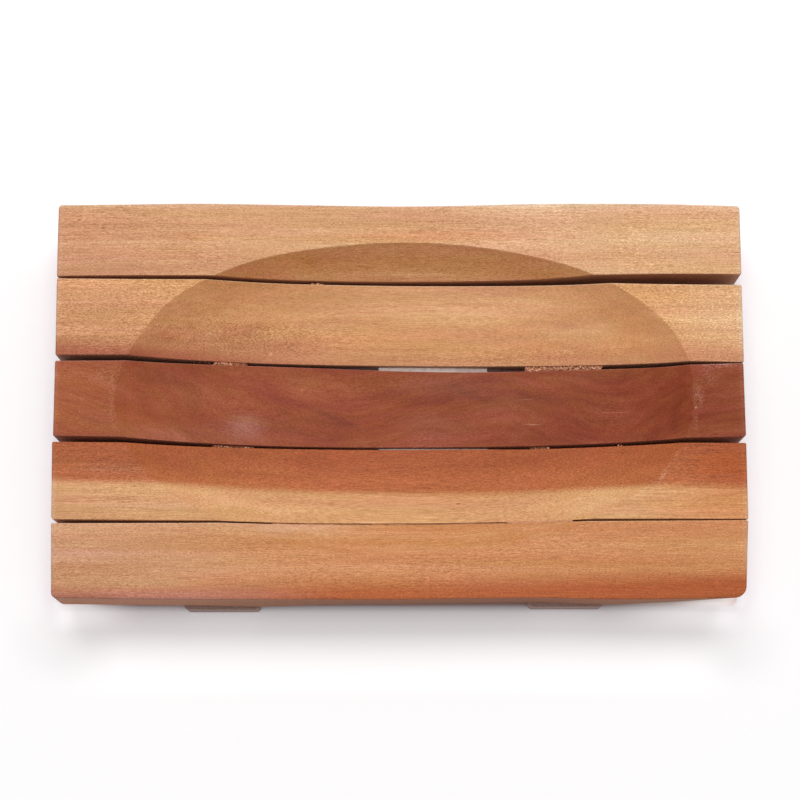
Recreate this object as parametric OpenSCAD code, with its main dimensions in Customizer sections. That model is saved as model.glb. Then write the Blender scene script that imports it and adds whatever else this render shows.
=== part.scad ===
/* [Slats] */
// Length of each slat, from the left end to the right end
slat_len = 130; // [116:1:160]
// Mean width of the slats
slat_w = 14.4; // [12:0.1:18]
// Thickness of the slats
slat_t = 12.5; // [11:0.1:16]
// Mean gap between neighbouring slats
slat_gap = 0.8; // [0.6:0.1:3]
// Radius of the sanded long edges of slats and battens
edge_r = 0.5; // [0.2:0.1:1.5]
// Radius of the sanded corners of slats and battens, seen from above
corner_r = 1; // [0.3:0.1:2.5]

/* [Soap recess] */
// Length of the oval rim
recess_len = 109.3; // [80:0.1:111]
// Width of the oval rim
recess_w = 59.5; // [40:0.1:68]
// Wood left under the deepest point
recess_floor = 1.5; // [1:0.1:5]
// Height over the top face of the centre of the ellipsoid that cuts the recess
recess_lift = 11; // [5:0.5:20]
// Shift of the recess towards the right end
recess_shift = 0.9; // [-2:0.1:2]

/* [Battens] */
// Width of each batten
batten_w = 14.4; // [10:0.1:18]
// Thickness of the battens, which is the height of the feet
batten_t = 6; // [5:0.1:10]
// Distance between the centre lines of the battens
batten_spacing = 65.6; // [60:0.1:80]
// Shift of the pair of battens towards the left end
batten_shift = 0.9; // [-3:0.1:3]
// Furthest reach of a batten past the front and back slats
batten_reach = 0.95; // [0.5:0.05:3]

/* [Screws] */
// Outer diameter of the thread
screw_d = 3; // [2.5:0.1:3.5]
// Depth of the thread's groove
thread_depth = 0.45; // [0.3:0.05:0.6]
// Distance from one thread crest to the next
thread_pitch = 1.1; // [0.8:0.1:1.4]
// Diameter of the countersunk head
head_d = 5.6; // [5:0.1:6.5]
// Depth of the head below the underside of the batten
head_sink = 0.4; // [0.2:0.1:1]
// Length of screw in the slat
screw_bite = 3.2; // [2.6:0.1:3.8]
// Length of the screw's point
point_len = 1.4; // [1:0.1:2]
// Length of each arm of the driver's cross, from tip to tip
cross_len = 2.9; // [2:0.1:3.5]
// Width of each arm of the driver's cross
cross_w = 0.8; // [0.5:0.05:1]
// Depth of the driver's cross
cross_depth = 1.2; // [0.8:0.1:1.4]
// Gap between the thread and the hole through the batten
shank_clearance = 0.15; // [0.1:0.05:0.4]
// Depth left free past the screw's point
point_clearance = 0.2; // [0.1:0.05:0.4]

/* [Label] */
// Length of the label on the underside, from left to right
label_len = 21; // [12:0.5:45]
// Width of the label, from front to back
label_w = 30; // [18:0.5:60]
// Thickness of the label
label_t = 0.15; // [0.1:0.05:0.4]
// Radius of the label's corners
label_r = 1.5; // [0.5:0.1:4]
// Shift of the label towards the right end
label_shift = 6.6; // [0:0.1:8]

/* [Hidden] */
$fn = 96;

// Extra length of every cut past the face that it opens
overrun = 1;

// Each slat is sawn and laid by hand: its width as a share of the mean width, the gap
// in front of it as a share of the mean gap, and how far its right end lies further
// back than its middle, as a share of the mean gap
width_shares = [0.96, 1.03, 0.995, 1.005, 1.01];
gap_shares = [1.45, 0.75, 1.25, 0.55];
skew_shares = [0, -0.72, -0.2, 0, 0.15];
// Reach of the left and the right batten as shares of the furthest reach
reach_shares = [1, 0.4];

slat_count = len(width_shares);
body_w = sum(width_shares) * slat_w + sum(gap_shares) * slat_gap;
top_z = batten_t + slat_t;
left_x = -batten_shift - batten_spacing / 2;
right_x = -batten_shift + batten_spacing / 2;

// The recess is the cap of an ellipsoid whose centre lies over the top face
recess_depth = slat_t - recess_floor;
scoop_h = recess_depth + recess_lift;
rim_share = sqrt(1 - pow(recess_lift / scoop_h, 2));

core_d = screw_d - 2 * thread_depth;
hole_d = screw_d + 2 * shank_clearance;

function sum(list, i = 0) = i < len(list) ? list[i] + sum(list, i + 1) : 0;
// Sum of the first n entries of a list
function sum_first(list, n) = n > 0 ? list[n - 1] + sum_first(list, n - 1) : 0;
function slat_width(i) = width_shares[i] * slat_w;
// Distance from the middle of the dish back to the centre line of slat i, at mid length
function slat_y(i) =
  body_w / 2 - sum_first(width_shares, i) * slat_w - sum_first(gap_shares, i) * slat_gap
  - slat_width(i) / 2;
// Angle by which slat i is turned as laid
function slat_turn(i) = atan(skew_shares[i] * slat_gap / (slat_len / 2));
// Distance back to the centre line of slat i at the place x along it
function slat_line_y(i, x) = slat_y(i) + x * tan(slat_turn(i));

// Rectangle with round corners, centred
module round_rect(length, width, radius) {
  square([length, width - 2 * radius], center = true);
  square([length - 2 * radius, width], center = true);
  for (x = [-1, 1], y = [-1, 1])
    translate([x * (length / 2 - radius), y * (width / 2 - radius)]) circle(r = radius);
}

// Bar along X, standing on z = 0, with sanded edges and corners
module sanded_bar(length, width, height) {
  intersection() {
    linear_extrude(height) round_rect(length, width, corner_r);
    translate([0, 0, height / 2])
      rotate([90, 0, 90])
        linear_extrude(length, center = true) round_rect(width, height, edge_r);
  }
}

// Solid that scoops the soap recess out of the slats
module scoop() {
  translate([recess_shift, 0, top_z + recess_lift])
    scale([recess_len / 2 / rim_share, recess_w / 2 / rim_share, scoop_h])
      sphere(r = 1);
}

// Pilot holes for the thread in the underside of slat i
module pilot_holes(i) {
  for (x = [left_x, right_x])
    translate([x, slat_line_y(i, x), batten_t - overrun])
      cylinder(d = screw_d, h = overrun + screw_bite + point_clearance);
}

module slat(i) {
  difference() {
    translate([0, slat_y(i), batten_t])
      rotate([0, 0, slat_turn(i)])
        sanded_bar(slat_len, slat_width(i), slat_t);
    scoop();
    pilot_holes(i);
  }
}

// Countersunk holes for the screws at the place x along the slats
module screw_holes(x) {
  sink_r = head_d / 2 + head_sink;
  for (i = [0 : slat_count - 1])
    translate([x, slat_line_y(i, x), 0]) {
      translate([0, 0, -overrun]) cylinder(d = hole_d, h = batten_t + 2 * overrun);
      translate([0, 0, -overrun]) cylinder(r1 = sink_r + overrun, r2 = 0, h = sink_r + overrun);
    }
}

module batten(x, reach_share) {
  difference() {
    translate([x, 0, 0])
      rotate([0, 0, 90])
        sanded_bar(body_w + 2 * batten_reach * reach_share, batten_w, batten_t);
    screw_holes(x);
  }
}

// Radius and height of the points along the thread, up from z
function thread_points(z, turns) = [
  for (n = [0 : turns - 1], side = [0, 1])
    side == 0
    ? [core_d / 2, z + n * thread_pitch]
    : [screw_d / 2, z + (n + 1 / 2) * thread_pitch]
];

// Countersunk wood screw that stands head down, its head sunk in the batten
module screw() {
  top = batten_t + screw_bite;
  cone_top = head_sink + (head_d - core_d) / 2;
  turns = floor((top - point_len - cone_top) / thread_pitch);
  thread_z = top - point_len - turns * thread_pitch;
  difference() {
    rotate_extrude()
      polygon(concat(
        [[0, head_sink], [head_d / 2, head_sink], [core_d / 2, cone_top]],
        thread_points(thread_z, turns),
        [[core_d / 2, top - point_len], [0, top]]
      ));
    driver_cross();
  }
}

module driver_cross() {
  intersection() {
    for (turn = [0, 90])
      rotate([0, 0, turn])
        translate([-cross_len / 2, -cross_w / 2, 0])
          cube([cross_len, cross_w, head_sink + cross_depth]);
    translate([0, 0, head_sink - cross_depth])
      cylinder(r1 = cross_len, r2 = 0, h = 2 * cross_depth);
  }
}

module screw_under(i, x) {
  color("silver") translate([x, slat_line_y(i, x), 0]) screw();
}

module slat_1_back() { color("burlywood") slat(0); }
module slat_2() { color("tan") slat(1); }
module slat_3_middle() { color("saddlebrown") slat(2); }
module slat_4() { color("peru") slat(3); }
module slat_5_front() { color("burlywood") slat(4); }
module left_batten() { color("tan") batten(left_x, reach_shares[0]); }
module right_batten() { color("tan") batten(right_x, reach_shares[1]); }
module label() {
  color("white")
    translate([label_shift, 0, batten_t - label_t])
      linear_extrude(label_t) round_rect(label_len, label_w, label_r);
}

slat_1_back();
slat_2();
slat_3_middle();
slat_4();
slat_5_front();
left_batten();
right_batten();
screw_under(0, left_x);  // left_screw_1
screw_under(1, left_x);  // left_screw_2
screw_under(2, left_x);  // left_screw_3
screw_under(3, left_x);  // left_screw_4
screw_under(4, left_x);  // left_screw_5
screw_under(0, right_x);  // right_screw_1
screw_under(1, right_x);  // right_screw_2
screw_under(2, right_x);  // right_screw_3
screw_under(3, right_x);  // right_screw_4
screw_under(4, right_x);  // right_screw_5
label();
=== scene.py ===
import math
from functools import partial

import bpy
import numpy as np
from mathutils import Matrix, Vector


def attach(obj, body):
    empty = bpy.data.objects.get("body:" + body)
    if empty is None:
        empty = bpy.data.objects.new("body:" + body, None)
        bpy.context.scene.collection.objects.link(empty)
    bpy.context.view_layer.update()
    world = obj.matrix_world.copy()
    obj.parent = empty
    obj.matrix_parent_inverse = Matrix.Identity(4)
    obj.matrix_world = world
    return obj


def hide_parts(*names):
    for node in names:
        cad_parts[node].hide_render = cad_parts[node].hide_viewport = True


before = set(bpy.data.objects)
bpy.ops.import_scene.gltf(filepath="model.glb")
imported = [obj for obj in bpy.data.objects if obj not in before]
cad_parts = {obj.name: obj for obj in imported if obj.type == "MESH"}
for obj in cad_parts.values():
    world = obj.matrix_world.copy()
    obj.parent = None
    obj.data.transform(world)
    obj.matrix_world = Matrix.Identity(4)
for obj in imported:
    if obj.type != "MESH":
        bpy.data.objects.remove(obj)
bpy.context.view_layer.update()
scene = bpy.context.scene
print("soap dish: frame loaded,", len(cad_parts), "nodes")

mm = 0.001
floorZ = 0.0
sharpAngle = 22  # in degrees, from which an edge is shaded as one
halfLength = 65.0  # of the dish, in mm
edgePlaces = np.linspace(-halfLength, halfLength, 11)  # where the slats' edges are given, in mm


def curveAt(points, x):
    # smooth curve through (place, value) points: between two of them a cubic whose slope at
    # each point is that of the line between its neighbours
    place, value = np.asarray(points, float).T
    slope = np.gradient(value, place)
    k = np.clip(np.searchsorted(place, x) - 1, 0, len(place) - 2)
    h = place[k + 1] - place[k]
    t = np.clip((x - place[k]) / h, 0, 1)
    rise = value[k + 1] - value[k]
    start = slope[k] * h
    end = slope[k + 1] * h
    return value[k] + t * start + t**2 * (3 * rise - 2 * start - end) + t**3 * (start + end - 2 * rise)


def edgeAt(values, x):
    # the curve through an edge's eleven values
    return curveAt(np.stack([edgePlaces, values], -1), x)


def smoothStep(low, high, x):
    # 0 below low, 1 above high, and an S between them: 3t^2 - 2t^3
    t = np.clip((x - low) / (high - low), 0, 1)
    return t * t * (3 - 2 * t)


# the hollow for the soap, cut with one sweep of a large oval cutter, all in mm
hollow = {
    "middle": (0.9, 0.4),
    "halfLength": 54.65,
    "halfWidth": 29.75,
    "depth": 11.0,
    "lift": 11.0,  # how far the middle of the cutter stays above the wood
    "topZ": 18.5,
    # how much fuller than an oval the cut is: degrees round the rim, share
    "rim": [(0, 0.996), (12, 1.008), (24, 1.022), (36, 1.027), (46, 1.029), (54, 1.029), (60, 1.02),
            (67, 1.011), (74, 1.006), (106, 1.006), (120, 1.024), (133, 1.024), (144, 1.016),
            (153, 0.998), (168, 0.989), (182, 0.994), (200, 1), (340, 1), (360, 0.996)],
}


def rimPlace(x, y):
    # a point's place in the oval: x and y as shares of its half axes, and their length divided
    # by the rim's share in that direction, which is 1 all along the rim
    u = (x - hollow["middle"][0]) / hollow["halfLength"]
    v = (y - hollow["middle"][1]) / hollow["halfWidth"]
    turn = np.degrees(np.arctan2(v, u)) % 360
    return u, v, np.hypot(u, v) / curveAt(hollow["rim"], turn)


def hollowDepth(x, y):
    # cap of an ellipsoid: (depth + lift) * sqrt(1 - q^2 * k) - lift, never below 0, where q is
    # 1 at the rim and k is the share that makes the cap end there
    reach = hollow["depth"] + hollow["lift"]
    share = 1 - (hollow["lift"] / reach) ** 2
    q = rimPlace(x, y)[2]
    return np.clip(reach * np.sqrt(np.clip(1 - share * q * q, 0, 1)) - hollow["lift"], 0, None)


def drawToRim(x, y, stepX, stepY):
    # points closer to the rim than half a cell move onto it, along its normal, which keeps the
    # edge of the hollow a clean line
    near = np.zeros(x.shape, bool)
    for turn in range(6):
        u, v, q = rimPlace(x, y)
        nx, ny = u / hollow["halfLength"], v / hollow["halfWidth"]
        size = nx * nx + ny * ny + 1e-12
        miss = (q * q - 1) / 2
        if turn == 0:
            near = np.abs(miss) < 0.52 * np.maximum(stepX * np.abs(nx), stepY * np.abs(ny))
        x = np.where(near, x - miss * nx / size, x)
        y = np.where(near, y - miss * ny / size, y)
    return x, y, near


def meshFromTriangles(name, points, triangles):
    # turned the right way out by the sign of the volume: sum of a . (b x c) / 6
    a, b, c = (points[triangles[:, corner]] for corner in range(3))
    if (a * np.cross(b, c)).sum() < 0:
        triangles = triangles[:, ::-1]
    mesh = bpy.data.meshes.new(name)
    mesh.vertices.add(len(points))
    mesh.vertices.foreach_set("co", (points * mm).astype(np.float32).reshape(-1))
    mesh.loops.add(triangles.size)
    mesh.loops.foreach_set("vertex_index", triangles.astype(np.int32).reshape(-1))
    mesh.polygons.add(len(triangles))
    mesh.polygons.foreach_set("loop_start", np.arange(0, triangles.size, 3, dtype=np.int32))
    mesh.polygons.foreach_set("use_smooth", np.ones(len(triangles), bool))
    mesh.update(calc_edges=True)
    mesh.validate()
    mesh.set_sharp_from_angle(angle=math.radians(sharpAngle))
    piece = bpy.data.objects.new(name, mesh)
    scene.collection.objects.link(piece)
    return piece


def ringFaces(rows, size):
    # the corners of the cells between neighbouring rings, and the fans that join the first and
    # the last ring to their poles, two points that come after the rings
    i = np.arange(rows - 1)[:, None] * size
    ring = np.arange(size)
    turn = (ring + 1) % size
    pole = rows * size
    head = np.stack([np.full(size, pole), turn, ring], -1)
    tail = np.stack([np.full(size, pole + 1), pole - size + ring, pole - size + turn], -1)
    return (i + ring, i + turn, i + size + turn, i + size + ring), np.concatenate([head, tail])


def cellTriangles(a, b, c, d, cross=False):
    # two triangles for each cell, split from a to c, or from b to d where cross is true
    cross = np.asarray(cross)[..., None]
    first = np.where(cross, np.stack([a, b, d], -1), np.stack([a, b, c], -1))
    second = np.where(cross, np.stack([b, c, d], -1), np.stack([a, c, d], -1))
    return np.concatenate([first.reshape(-1, 3), second.reshape(-1, 3)])


def meshFromRings(name, rings, onLine, sawn, arris):
    # rings: (rings, points, xyz) in mm. Triangles join neighbouring rings, and the first and the
    # last are drawn in towards their middles until they close. sawn is 1 where a point is on a
    # sawn face, arris is 1 on a rounded edge, which is rubbed and gets a painted highlight, and
    # the closing rings are end grain
    count, size = rings.shape[:2]
    start, stop = rings[0].mean(0), rings[-1].mean(0)
    inset = np.array([0.25, 0.5, 0.78])[:, None, None]
    head = start + (rings[0] - start) * (1 - inset[::-1])
    tail = stop + (rings[-1] - stop) * (1 - inset)
    stack = np.concatenate([head, rings, tail])
    rows = len(stack)
    closing = len(inset)
    line = np.zeros((rows, size), bool)
    line[closing:closing + count] = onLine
    line = line.reshape(-1)
    (a, b, c, d), fans = ringFaces(rows, size)
    faces = cellTriangles(a, b, c, d, cross=line[b] & line[d] & ~(line[a] & line[c]))
    points = np.concatenate([stack.reshape(-1, 3), start[None], stop[None]])
    piece = meshFromTriangles(name, points, np.concatenate([faces, fans]))
    first, last = closing + 1, closing + count - 1
    marks = {mark: np.zeros((rows, size)) for mark in ("sawn", "arris", "endGrain")}
    marks["sawn"][first:last] = sawn[1:-1]
    marks["arris"][first:last] = arris[1:-1]
    marks["endGrain"][:first] = marks["endGrain"][last:] = 1
    for mark, values in marks.items():
        poles = np.full(2, 1.0 if mark == "endGrain" else 0.0)
        values = np.concatenate([values.reshape(-1), poles])
        layer = piece.data.attributes.new(mark, "FLOAT", "POINT")
        layer.data.foreach_set("value", values.astype(np.float32))
    return piece


# Each slat in mm: y of its back and front edge at the eleven places, x of its ends at the back
# and the front, and how its corners are rounded seen from above, on the left and on the right
slats = {
    "slat_1_back": {
        "back": [37.54, 37.67, 37.84, 37.67, 37.45, 37.28, 37.45, 37.78, 37.82, 37.7, 37.35],
        "front": [23.64, 23.75, 23.75, 23.7, 23.68, 23.68, 23.68, 23.66, 23.88, 24.05, 23.97],
        "leftEnd": (-64.92, -64.9), "rightEnd": (65, 65.03),
        "corners": {"back": (0.7, 0.7), "front": (0.12, 0.35)},
    },
    "slat_2": {
        "back": [23.22, 23.11, 23.06, 23.05, 23.04, 22.98, 22.85, 22.62, 22.33, 22.06, 21.96],
        "front": [8.36, 8.39, 8.35, 8.33, 8.31, 8.25, 8.12, 7.9, 7.61, 7.24, 6.96],
        "leftEnd": (-64.9, -64.76), "rightEnd": (65, 65.02),
        "corners": {"back": (0.15, 0.3), "front": (0.3, 0.3)},
    },
    "slat_3_middle": {
        "back": [7.3, 7.38, 7.66, 7.79, 7.66, 7.28, 7.01, 6.95, 6.81, 6.53, 6.86],
        "front": [-7.09, -7.27, -7.5, -7.66, -7.71, -7.68, -7.66, -7.65, -7.6, -7.48, -7.25],
        "leftEnd": (-64.8, -64.78), "rightEnd": (64.92, 65.04),
        "corners": {"back": (0.3, 0.3), "front": (0.3, 0.6)},
    },
    "slat_4": {
        "back": [-8.16, -8.28, -8.26, -8.19, -8.17, -8.16, -8.12, -8.31, -8.27, -8.33, -8.38],
        "front": [-22.77, -22.92, -23.02, -23.04, -23.01, -22.94, -22.86, -22.78, -22.72, -22.71, -22.75],
        "leftEnd": (-64.92, -64.68), "rightEnd": (65.04, 65.02),
        "corners": {"back": (0.25, 0.25), "front": (0.5, 0.3)},
    },
    "slat_5_front": {
        "back": [-23.48, -23.45, -23.41, -23.36, -23.31, -23.26, -23.19, -23.13, -23.05, -22.98, -22.9],
        "front": [-37.35, -37.55, -37.69, -37.69, -37.69, -37.69, -37.5, -37.38, -37.66, -37.55, -37.3],
        "leftEnd": (-64.68, -64.27), "rightEnd": (64.97, 64.22),
        "corners": {"back": (0.3, 0.3), "front": (0.9, 2.1)},
        # how far the foot of its front face stands back, and how far its left foot leans out
        "footIn": [-0.16, -0.12, -0.1, -0.32, 0.08, 0.18, 0.2, 0.2, 0.07, 0.48, 1],
        "lean": 0.34,
    },
}
slatMesh = {
    "underZ": 6.0,
    "edgeRound": 0.26,  # sanded edge where the top is flat
    "hollowEdgeRound": 0.14,  # crisper edge inside the hollow
    "endRound": 0.40,
    "underRound": 0.30,
    "crispDepth": 1.2,  # of the hollow, from which its edge is at its crispest
    "endZone": 2.2,  # the last stretch, whose rings lie closer together
    "shiftFrom": 50,  # x from which the ends move to where they are sawn
    "leanFrom": 60,  # and from which the left one leans out
    "stepX": 0.46,
    "acrossTop": 38,
}


def shrink(radius, distance):
    # how far a rounding of this radius draws in: r - sqrt(r^2 - (r - d)^2), d from the end
    d = np.clip(distance, 0, radius)
    return radius - np.sqrt(np.clip(radius**2 - (radius - d) ** 2, 0, None))


def slatPiece(name, look):
    # The section of the slat is carried along X. At each place it runs along the underside,
    # up the front, round the edge, over the top and down the back. The height of the top is
    # the flat top less the depth of the hollow. Towards the ends the section shrinks, which
    # rounds the corners and end edges. Arrays are (places along X, points of the section).
    near = np.array([0, 0.015, 0.06, 0.13, 0.22, 0.33, 0.46, 0.62, 0.82, 1.08, 1.4, 1.8])
    inside = halfLength - slatMesh["endZone"]
    inner = np.linspace(-inside, inside, int(round(2 * inside / slatMesh["stepX"])) + 1)
    stations = np.concatenate([-halfLength + near, inner, (halfLength - near)[::-1]])[:, None]

    def shrinkEnds(left, right):
        return shrink(left, stations + halfLength) + shrink(right, halfLength - stations)

    def rimMatch(y):
        # x of the section where it meets the rim at its edge, drawn in from half a step: the
        # rim is found by letting x grow by the share that is missing, a few times over
        side = np.where(stations < hollow["middle"][0], -1, 1)
        reach = hollow["halfLength"] * np.ones_like(stations)
        for _ in range(12):
            u, v, q = rimPlace(hollow["middle"][0] + side * reach, y)
            rim = np.hypot(u, v) / q
            reach = hollow["halfLength"] * np.sqrt(np.clip(rim**2 - v**2, 0, None))
        aim = hollow["middle"][0] + side * reach
        close = (np.abs(stations - aim) < 0.5 * slatMesh["stepX"]) & (reach > 0)
        return np.where(close, aim, stations)

    topZ, low = hollow["topZ"], slatMesh["underRound"]
    fallEnd = shrinkEnds(slatMesh["endRound"], slatMesh["endRound"])
    under = slatMesh["underZ"] + shrinkEnds(low, low)
    crisper = slatMesh["hollowEdgeRound"] - slatMesh["edgeRound"]
    edges = {}
    for part, inwards in (("front", 1), ("back", -1)):
        y = edgeAt(look[part], stations) + inwards * shrinkEnds(*look["corners"][part])
        x = rimMatch(y)
        dip = hollowDepth(x, y)
        radius = slatMesh["edgeRound"] + crisper * smoothStep(0, slatMesh["crispDepth"], dip)
        edges[part] = x, y, topZ - dip - fallEnd, radius
    xFront, front, _, roundFront = edges["front"]
    xBack, back, _, roundBack = edges["back"]

    s = np.linspace(0, 1, slatMesh["acrossTop"] + 1)[None, :]
    yTop = (front + roundFront) * (1 - s) + (back - roundBack) * s
    stepY = (back - front) / slatMesh["acrossTop"]
    xTop, yTop, onRim = drawToRim(stations + 0 * s, yTop, slatMesh["stepX"], stepY)
    xTop[:, :1] = np.where(onRim[:, :1], xTop[:, :1], xFront)
    xTop[:, -1:] = np.where(onRim[:, -1:], xTop[:, -1:], xBack)
    zTop = topZ - np.where(onRim, 0, hollowDepth(xTop, yTop)) - fallEnd

    def sideFace(part, inwards, yIn, zIn, footIn):
        # down one side: a quadratic curve from the top, bent towards the corner, then the face
        # down to its foot, and a quarter round to the underside
        x, y, z, radius = edges[part]
        t = np.linspace(0, 1, 8)[None, 1:-1]
        ys = [(1 - t) ** 2 * yIn + (1 - (1 - t) ** 2) * y]
        zs = [(1 - t) ** 2 * zIn + 2 * t * (1 - t) * z + t**2 * (z - radius)]
        t = np.linspace(0, 1, 7)[None, :]
        ys.append(y + footIn * t)
        zs.append((z - radius) * (1 - t) + (under + low) * t)
        t = np.linspace(0, 1, 5)[None, 1:-1]
        ys.append(y + footIn + inwards * low * t**2)
        zs.append(under + low * (1 - t) ** 2)
        ys, zs = np.concatenate(ys, 1), np.concatenate(zs, 1)
        return x + 0 * ys, ys, zs

    footIn = edgeAt(look.get("footIn", [0.0] * 11), stations)
    faceFront = sideFace("front", 1, yTop[:, :1], zTop[:, :1], footIn)
    faceBack = sideFace("back", -1, yTop[:, -1:], zTop[:, -1:], 0.0)
    flat = np.linspace(0, 1, 15)[None, :]
    underside = (stations + 0 * flat, (back - low) * (1 - flat) + (front + footIn + low) * flat,
                 under + 0 * flat)
    section = [underside, [part[:, ::-1] for part in faceFront], (xTop, yTop, zTop), faceBack]
    xs, ys, zs = (np.concatenate(part, 1) for part in zip(*section))
    # where the top starts and stops in the section. The marks fade over the points beside it
    first = flat.shape[1] + faceFront[0].shape[1]
    last = first + yTop.shape[1]
    line = np.zeros(ys.shape, bool)
    line[:, first:last] = onRim
    sawn = np.ones(ys.shape)
    sawn[:, first - 7:last + 7] = 0.5
    sawn[:, first - 5:last + 5] = 0
    arris = np.zeros(ys.shape)
    arris[:, first - 4:first] = 0.5
    arris[:, last:last + 5] = 1.0

    # the two ends move to where they are sawn, fading out towards the hollow, and the left one
    # may lean out towards its foot
    share = np.clip((look["back"][5] - ys) / (look["back"][5] - look["front"][5]), 0, 1)
    left, right = (a + (b - a) * share for a, b in (look["leftEnd"], look["rightEnd"]))
    shift = np.where(stations < 0, left + halfLength, right - halfLength)
    shift = shift * smoothStep(slatMesh["shiftFrom"], halfLength, np.abs(stations))
    lean = look.get("lean", 0.0) * smoothStep(slatMesh["leanFrom"], halfLength, -stations)
    lean = lean * (topZ - zs) / (topZ - slatMesh["underZ"])
    rings = np.stack([xs + shift - lean, ys, zs], -1)
    piece = meshFromRings(name + "_wood", rings, line, sawn, arris)
    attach(piece, "root")
    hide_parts(name)
    return piece


slatPieces = {name: slatPiece(name, look) for name, look in slats.items()}
print("soap dish: slats", {n: len(p.data.polygons) for n, p in slatPieces.items()})


def linear(code):
    # sRGB hex to linear: c / 12.92 below 0.04045, else ((c + 0.055) / 1.055) ^ 2.4
    parts = np.array([int(code[i:i + 2], 16) for i in (1, 3, 5)]) / 255
    line = np.where(parts <= 0.04045, parts / 12.92, ((parts + 0.055) / 1.055) ** 2.4)
    return (*line.tolist(), 1.0)


# the noise over which each kind of mark fades in
fadeIn = {"hue": (0.36, 0.64), "patch": (0.4, 0.64), "fleck": (0.5, 0.66), "pore": (0.6, 0.72),
          "dust": (0.44, 0.62)}
# the heights in mm over which the wall of the hollow and the flat top begin
woodZ = {"wall": (9.5, 16.8), "top": (hollow["topZ"] - 0.22, hollow["topZ"] - 0.04)}
mainOption = {"Mix": "data_type", "MapRange": "interpolation_type", "Mapping": "vector_type"}


def addNode(tree, kind, inputs=(), out=None, **settings):
    # Adds a node, sets its options, and sets or links its inputs. A second word in kind is its
    # main option, which for most is the operation. A list goes through the inputs that are in
    # use, a dictionary names them. Gives back the output named out, or the first in use
    kind, _, option = kind.partition(" ")
    node = tree.nodes.new("ShaderNode" + kind)
    if option:
        setattr(node, mainOption.get(kind, "operation"), option)
    for key, value in settings.items():
        setattr(node, key, value)
    if isinstance(inputs, dict):
        pairs = [(node.inputs[key], value) for key, value in inputs.items()]
    else:
        pairs = zip([socket for socket in node.inputs if socket.enabled], inputs)
    for socket, value in pairs:
        if isinstance(value, bpy.types.NodeSocket):
            tree.links.new(value, socket)
        else:
            socket.default_value = value
    if out:
        return node.outputs[out]
    return next((socket for socket in node.outputs if socket.enabled), None)


def newMaterial(name):
    # an empty material, what adds nodes to it, and the coordinates of its object
    material = bpy.data.materials.new(name)
    material.use_nodes = True
    material.node_tree.nodes.clear()
    add = partial(addNode, material.node_tree)
    return material, add, add("TexCoord", out="Object")


def lineAlong(add, x, points):
    # a smooth line along the slat: its y in metres at every x, from (x, y) points in mm
    reach = (halfLength + 1) * mm
    place = add("MapRange", [x, -reach, reach])
    y = add("FloatCurve", {"Value": place})
    curve = y.node.mapping.curves[0]
    for spot, (px, py) in enumerate(points):
        where = (px * mm / reach / 2 + 0.5, py * mm / reach / 2 + 0.5)
        if spot < 2:
            curve.points[spot].location = where
        else:
            curve.points.new(*where)
    y.node.mapping.update()
    return add("MapRange", [y, 0, 1, -reach, reach], clamp=False)


def oval(x, y, halfLong, halfWide, tint=None, amount=1.0, **more):
    # a zone of the wood round (x, y), in mm. tint is its colour, or what the colour is
    # multiplied by, amount how much of it, and soft the share of the zone that is its border
    soft = 0.95 if isinstance(tint, tuple) else 0.9
    zone = {"at": (x, y), "size": (halfLong, halfWide), "tint": tint, "amount": amount, "soft": soft}
    return {**zone, **more}


def past(side, line, tint=None, **more):
    # the zone behind or in front of a line along the slat, given by points in mm. Its soft
    # border is in mm too
    return {"side": side, "line": line, "tint": tint, "amount": 1.0, **more}


def zoneMask(grain, zone):
    # 1 in the zone and 0 outside it, with a soft border that the streaks make uneven
    add, axes, layer = grain["add"], grain["axes"], grain["layer"]
    ragged = zone.get("ragged", 0.3)
    if "line" in zone:
        line = lineAlong(add, axes["X"], zone["line"])
        pair = (line, axes["Y"]) if zone["side"] == "front" else (axes["Y"], line)
        value = add("Math SUBTRACT", pair)
        value = add("Math MULTIPLY_ADD", [layer["streak"], ragged * 4 * mm, value])
        half = zone["soft"] * mm / 2
        low, high = ragged * 2 * mm - half, ragged * 2 * mm + half
        ends = (0.0, zone["amount"])
    else:
        place, size = ([v * mm for v in zone[key]] for key in ("at", "size"))
        turn = math.radians(zone.get("turn", 0))
        value = add("Mapping TEXTURE", [grain["coords"], (*place, 0), (0, 0, turn), (*size, 1000)])
        value = add("VectorMath LENGTH", [value])
        value = add("Math MULTIPLY_ADD", [layer["streak"], ragged, value])
        low, high = 1 - zone["soft"] + ragged / 2, 1 + ragged / 2
        ends = (zone["amount"], 0.0)
    mask = add("MapRange SMOOTHSTEP", [value, low, high, *ends])
    if "fade" in zone:  # from the first x to the second
        start, stop = zone["fade"]
        fade = add("MapRange SMOOTHSTEP", [axes["X"], start * mm, stop * mm, 1.0, 0.0])
        mask = add("Math MULTIPLY", [mask, fade])
    if "speckled" in zone:
        dots = add("MapRange SMOOTHSTEP", [layer["dust"], *fadeIn["dust"]])
        mask = add("Math MULTIPLY", [mask, dots])
    return mask


def layZones(grain, color, zones, body=None):
    # each zone takes the place of the colour before it, or multiplies it, and keeps the
    # streaks: a colour goes in as its ratio to the body colour
    for zone in zones:
        mask = zoneMask(grain, zone)
        after = zone["tint"]
        if isinstance(after, str):
            after = tuple(a / b for a, b in zip(linear(after)[:3], linear(body)[:3]))
        else:
            after = grain["add"]("VectorMath MULTIPLY", [color, after])
        color = grain["add"]("Mix VECTOR", [mask, color, after])
    return color


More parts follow.
